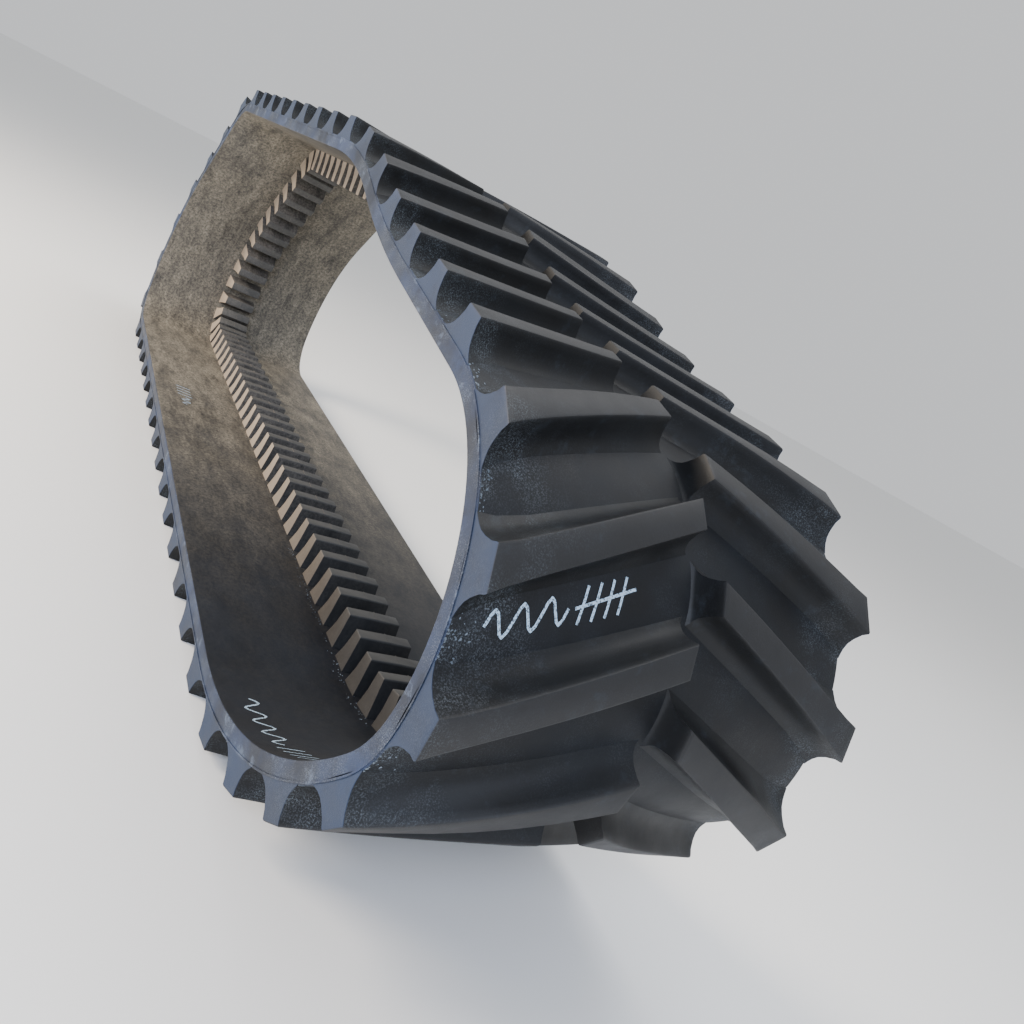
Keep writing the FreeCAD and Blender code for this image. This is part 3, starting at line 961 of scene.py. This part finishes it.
# ---------------------------------------------------------------- guide lugs
@dataclass
class GuideLugs:
    """The row of guide lugs down the middle of the inner face."""

    line: CordLine
    sections: list
    height: float = 76 * MM
    base: tuple[float, float] = (54 * MM, 140 * MM)     # along, across
    crest: tuple[float, float] = (30 * MM, 120 * MM)
    sunk: float = 4 * MM
    round_edge: float = 3.5 * MM
    parting: tuple[float, float, float] = (3 * MM, 5.5 * MM, 1.6 * MM)   # from, to, height

    def master(self) -> bpy.types.Object:
        """Model one lug upright: X along the loop, Y across, crest up."""
        tall = self.height + self.sunk
        piece = start_solid("lug_master", (self.base[0], self.base[1], tall),
                            (0, 0, self.height - tall / 2))
        slice_at(2, (0.0, 5 * MM, 14 * MM, 34 * MM))
        bpy.ops.object.mode_set(mode="OBJECT")
        points = read_points(piece)
        rise = np.clip(points[:, 2] / self.height, 0, 1)
        hollow = (1 - rise) ** 1.5
        for axis in (0, 1):
            wide = self.crest[axis] / 2 + (self.base[axis] - self.crest[axis]) / 2 * hollow
            points[:, axis] = np.sign(points[:, axis]) * wide
        write_points(piece, points)
        bpy.ops.object.mode_set(mode="EDIT")
        low, high, proud = self.parting
        slice_at(1, (low, high))
        select_faces(piece, lambda c, n: n.z > 0.9 and low < c.y < high)
        bpy.ops.mesh.extrude_region_shrink_fatten(
            TRANSFORM_OT_shrink_fatten={"value": proud})
        top = self.height - NEAR
        corner = [wide / 2 - NEAR for wide in self.crest]
        select_edges(piece, lambda a, b: (a.z > top and b.z > top and abs(a.z - b.z) < 1e-6
                                          and a.z < top + 2 * NEAR
                                          and ((abs(a.x) > corner[0] and a.x * b.x > 0)
                                               or (abs(a.y) > corner[1] and a.y * b.y > 0)))
                     or (abs(a.z - b.z) > 2 * MM and abs(a.y) > corner[1]
                         and abs(b.y) > corner[1]))
        bpy.ops.mesh.bevel(offset=self.round_edge, segments=2, affect="EDGES",
                           clamp_overlap=True)
        close_up(piece, 38)
        return piece

    def place(self, piece: bpy.types.Object, s: float) -> None:
        """Stand a copy on the inner face, upright to the belt.

        Args:
            piece: The copy.
            s: Its place along the loop.
        """
        x, z, heading = (float(value[0]) for value in
                         self.line.locate(np.array([s]), np.array([-INNER_SKIN])))
        points = read_points(piece)
        along, across, up = points.T
        flat = np.stack([s + along, across, -INNER_SKIN - up], axis=1)
        stamp_place(piece, flat, self.line.length)
        write_points(piece, np.stack([
            x + along * math.cos(heading) - up * math.sin(heading), across,
            z + along * math.sin(heading) + up * math.cos(heading)], axis=1))

    def build(self) -> None:
        """Copy the master round the loop and join the copies of each section."""
        master = self.master()
        master.data.materials.append(bpy.data.materials[LUG_RUBBER.name])
        pitch = self.line.length / LUG_COUNT
        groups = {section.name: [] for section in self.sections}
        for index in range(LUG_COUNT):
            s = (index + 0.5) * pitch
            home = home_of(self.sections, s, self.line.length)
            piece = copy_of(master, f"lug_{index:02d}")
            self.place(piece, s)
            groups[home.name].append(piece)
        for section in self.sections:
            joined = join_as(f"guide_lugs_{section.name}", groups[section.name])
            section.attach(joined, ("guide_lugs",), "lug_rubber")
        discard(master)


# ---------------------------------------------------------------- small marks
@dataclass
class Crumbs:
    """Torn flash and crumbs of rubber scattered in a band along the belt."""

    line: CordLine
    section: Section
    name: str
    side: Side
    reach: tuple[float, float]     # range along the loop
    middle: float                  # Y of the band, and how far it spreads to each side
    spread: float
    count: int
    seed: int = 7

    def master(self) -> bpy.types.Object:
        """Model one crumb: a squashed, torn lump a few millimetres long."""
        bpy.ops.object.select_all(action="DESELECT")
        bpy.ops.mesh.primitive_ico_sphere_add(subdivisions=1, radius=1.0)
        piece = bpy.context.object
        bpy.ops.object.mode_set(mode="EDIT")
        bpy.ops.mesh.select_all(action="SELECT")
        bpy.ops.transform.vertex_random(offset=0.7, seed=3)
        close_up(piece, 20)
        return piece

    def build(self) -> None:
        """Scatter copies along the band, each with its own size and turn."""
        master = self.master()
        master.data.materials.append(bpy.data.materials[CRUMB_RUBBER.name])
        chance = random.Random(self.seed)
        shape = read_points(master)
        first = max(self.section.start, self.reach[0])
        last = min(self.section.stop, self.reach[1])
        offset = TREAD_SKIN if self.side is Side.TREAD else -INNER_SKIN
        parts = []
        for index in range(self.count):
            piece = copy_of(master, f"crumb_{index:03d}")
            size = chance.uniform(0.6, 1.7) * MM
            turn = np.array(Matrix.Rotation(chance.uniform(0, math.tau), 3, "Z"))
            points = (shape * (1.9, 0.8, 0.6)) @ turn.T * size
            across = self.middle + chance.gauss(0, 1) * self.spread
            across = max(across, 2.5 * MM - HALF_WIDTH)
            points += (chance.uniform(first, last), across, offset)
            stamp_place(piece, points, self.line.length)
            write_points(piece, self.line.wrap(points))
            if self.side is Side.TREAD:
                piece.data.flip_normals()
            parts.append(piece)
        joined = join_as(self.name, parts)
        self.section.attach(joined, (), "edge_rubber")
        discard(master)


@dataclass
class ChalkMarks:
    """Plain strokes of wax chalk: a wave and ticks, standing for no letter or number."""

    line: CordLine
    name: str
    side: Side
    strokes: tuple
    body: str
    anchor: tuple[float, float]    # distance along the loop and Y of the marks' start
    lean: float = 0.0              # how far the row of marks climbs along the loop for each Y
    width: float = 4.0 * MM

    def stroke(self, index: int, path: tuple) -> bpy.types.Object:
        """Lay one stroke as a thin ribbon on the belt's face.

        Args:
            index: The stroke's number.
            path: Points of the stroke from the anchor, along the loop and in Y.

        Returns:
            The ribbon, wrapped round the loop.
        """
        steps = 6 * (len(path) - 1)
        bpy.ops.object.select_all(action="DESELECT")
        bpy.ops.mesh.primitive_grid_add(x_subdivisions=steps, y_subdivisions=1, size=2)
        piece = bpy.context.object
        piece.name = f"{self.name}_{index}"
        points = read_points(piece)
        share = (points[:, 0] + 1) / 2 * (len(path) - 1)
        knots = np.arange(len(path))
        track = np.array(path) * MM
        track[:, 0] += self.anchor[0] + track[:, 1] * self.lean
        track[:, 1] += self.anchor[1]
        centre = np.stack([np.interp(share, knots, track[:, i]) for i in (0, 1)], axis=1)
        ahead = np.stack([np.interp(share + 0.3, knots, track[:, i]) for i in (0, 1)], axis=1)
        behind = np.stack([np.interp(share - 0.3, knots, track[:, i]) for i in (0, 1)], axis=1)
        run = ahead - behind
        run /= np.linalg.norm(run, axis=1)[:, None]
        across = np.stack([-run[:, 1], run[:, 0]], axis=1)
        centre += across * (points[:, 1] * self.width / 2)[:, None]
        offset = TREAD_SKIN + 0.5 * MM if self.side is Side.TREAD else -INNER_SKIN - 0.5 * MM
        flat = np.column_stack([centre, np.full(len(points), offset)])
        stamp_place(piece, flat, self.line.length)
        write_points(piece, self.line.wrap(flat))
        if self.side is Side.TREAD:
            piece.data.flip_normals()
        return piece

    def build(self) -> None:
        """Lay all strokes and join them."""
        parts = [self.stroke(i, path) for i, path in enumerate(self.strokes)]
        joined = join_as(self.name, parts)
        joined.data.materials.append(bpy.data.materials[CHALK.name])
        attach(joined, self.body)
        LOG.info("%s: %d strokes", self.name, len(parts))


# ---------------------------------------------------------------- studio
@dataclass
class Studio:
    """Pale floor, soft lamps and the camera."""

    floor_size: float = 60.0
    eye: tuple = (2.23110, -0.85159, 0.93725)
    right: tuple = (0.403173965, 0.791360783, 0.459563776)
    down: tuple = (0.376492776, 0.314280742, -0.871481959)
    forward: tuple = (-0.83408869, 0.524381279, -0.171231805)
    lens: float = 29.58
    shift: tuple = (0.0124, -0.0839)

    def lamp(self, name: str, place: tuple, target: tuple, size: float, power: float,
             colour: str) -> None:
        """Hang one large soft lamp aimed at a point.

        Args:
            name: The lamp's name.
            place: Where it hangs.
            target: What it is aimed at.
            size: Its diameter.
            power: Its power in watts.
            colour: Its colour as sRGB hex.
        """
        light = bpy.data.lights.new(name, "AREA")
        light.shape, light.size, light.energy = "DISK", size, power
        light.color = srgb(colour)[:3]
        holder = bpy.data.objects.new(name, light)
        bpy.context.scene.collection.objects.link(holder)
        holder.location = place
        aim = Vector(target) - Vector(place)
        holder.rotation_euler = aim.to_track_quat("-Z", "Y").to_euler()

    def build(self) -> None:
        """Lay the floor, hang the lamps, set the sky and place the camera."""
        bpy.ops.object.select_all(action="DESELECT")
        bpy.ops.mesh.primitive_plane_add(size=self.floor_size, location=(0, 0, 0))
        floor = bpy.context.object
        floor.name = "studio_floor"
        floor.data.materials.append(
            PlainFinish("matt_white_floor", "#f0f0ef", 0.95).make())
        world = bpy.data.worlds.new("soft_studio")
        world.use_nodes = True
        sky = world.node_tree.nodes["Background"]
        sky.inputs["Color"].default_value = srgb("#f2f4f7")
        sky.inputs["Strength"].default_value = 0.85
        bpy.context.scene.world = world
        self.lamp("lamp_left", (-1.2, -4.6, 2.6), (-0.6, 0, 0.5), 2.2, 460, "#fff0dc")
        self.lamp("lamp_front", (4.2, -2.4, 2.6), (1.0, 0, 0.5), 2.2, 190, "#dde8ff")
        self.lamp("lamp_top", (0.6, 0.8, 4.5), (0, 0, 0.5), 3.0, 120, "#ffffff")
        camera = bpy.data.cameras.new("studio_camera")
        camera.sensor_width, camera.lens = 36.0, self.lens
        camera.shift_x, camera.shift_y = self.shift
        holder = bpy.data.objects.new("studio_camera", camera)
        bpy.context.scene.collection.objects.link(holder)
        right, up, back = (Vector(self.right), -Vector(self.down), -Vector(self.forward))
        turn = Matrix((right, up, back)).transposed().to_4x4()
        holder.matrix_world = Matrix.Translation(self.eye) @ turn
        bpy.context.scene.camera = holder
        LOG.info("studio: floor, lamps and camera set")


def wave(start: float, length: float, height: float, humps: int) -> tuple:
    """Draw a wavy stroke along Y.

    Args:
        start: Where it starts, in mm from the marks' anchor.
        length: Its length in mm.
        height: Its height in mm.
        humps: How many waves it has.

    Returns:
        Its points in mm.
    """
    steps = humps * 8
    return tuple((height / 2 * math.sin(math.tau * i / 8), start + length * i / steps)
                 for i in range(steps + 1))


def ticks(start: float, step: float, height: float, count: int) -> tuple:
    """Draw a row of short leaning strokes along Y.

    Args:
        start: Where the row starts, in mm from the marks' anchor.
        step: Distance from one stroke to the next in mm.
        height: Their height in mm.
        count: How many there are.

    Returns:
        The two end points of each stroke in mm.
    """
    return tuple(((-height / 2, start + step * i), (height / 2, start + step * (i + 0.3)))
                 for i in range(count))


def turned(strokes: tuple) -> tuple:
    """Return strokes turned so that their row runs along the loop."""
    return tuple(tuple((y, s) for s, y in path) for path in strokes)


OUTSIDE_STROKES = (wave(0, 110, 34, 3), *ticks(128, 20, 44, 4), ((-2, 120), (4, 212)))
INSIDE_STROKES = turned((wave(0, 200, 30, 4), *ticks(222, 26, 42, 4)))
FAR_STROKES = turned((*ticks(0, 26, 46, 4), wave(104, 60, 26, 2)))


def main() -> None:
    """Build the track's pieces and the studio in order."""
    logging.basicConfig(level=logging.INFO, format="%(name)s: %(message)s")
    start = next(joint["pos_m"] for joint in frame["joints"]
                 if joint["name"] == "front_ground_bend")
    line = CordLine(STRETCHES, GROUND_RUN, (start[0], start[2]))
    LOG.info("loop length %.4f m", line.length)
    for finish in (TREAD_RUBBER, BAR_RUBBER, EDGE_RUBBER_PAINTED_SKY, INNER_RUBBER, LUG_RUBBER,
                   CRUMB_RUBBER, CHALK):
        finish.make()
    sections = loop_sections(line)
    for section in sections:
        BeltStrip(line, section, sections[1].stop).build()
    for half in Half:
        TreadBars(line, sections, half).build()
    GuideLugs(line, sections).build()
    front_low, front_top = sections[:2]
    edge, lug_foot = 9 * MM - HALF_WIDTH, -78 * MM
    Crumbs(line, front_low, "edge_crumbs_low", Side.TREAD, (-0.3, 0.9), edge, 11 * MM, 520).build()
    Crumbs(line, front_top, "edge_crumbs_top", Side.TREAD, (0.9, 1.5), edge, 7 * MM, 150).build()
    Crumbs(line, front_low, "foot_crumbs", Side.INSIDE, (-0.5, 0.75), lug_foot, 6 * MM,
           160).build()
    ChalkMarks(line, "chalk_outside", Side.TREAD, OUTSIDE_STROKES, "front_bend",
               (0.893, -0.305), lean=0.374).build()
    ChalkMarks(line, "chalk_inside", Side.INSIDE, INSIDE_STROKES, "front_bend",
               (0.14, -0.295)).build()
    ChalkMarks(line, "chalk_far", Side.INSIDE, FAR_STROKES, "ground_run",
               (5.54, -0.255)).build()
    Studio().build()


if __name__ == "__main__":
    main()
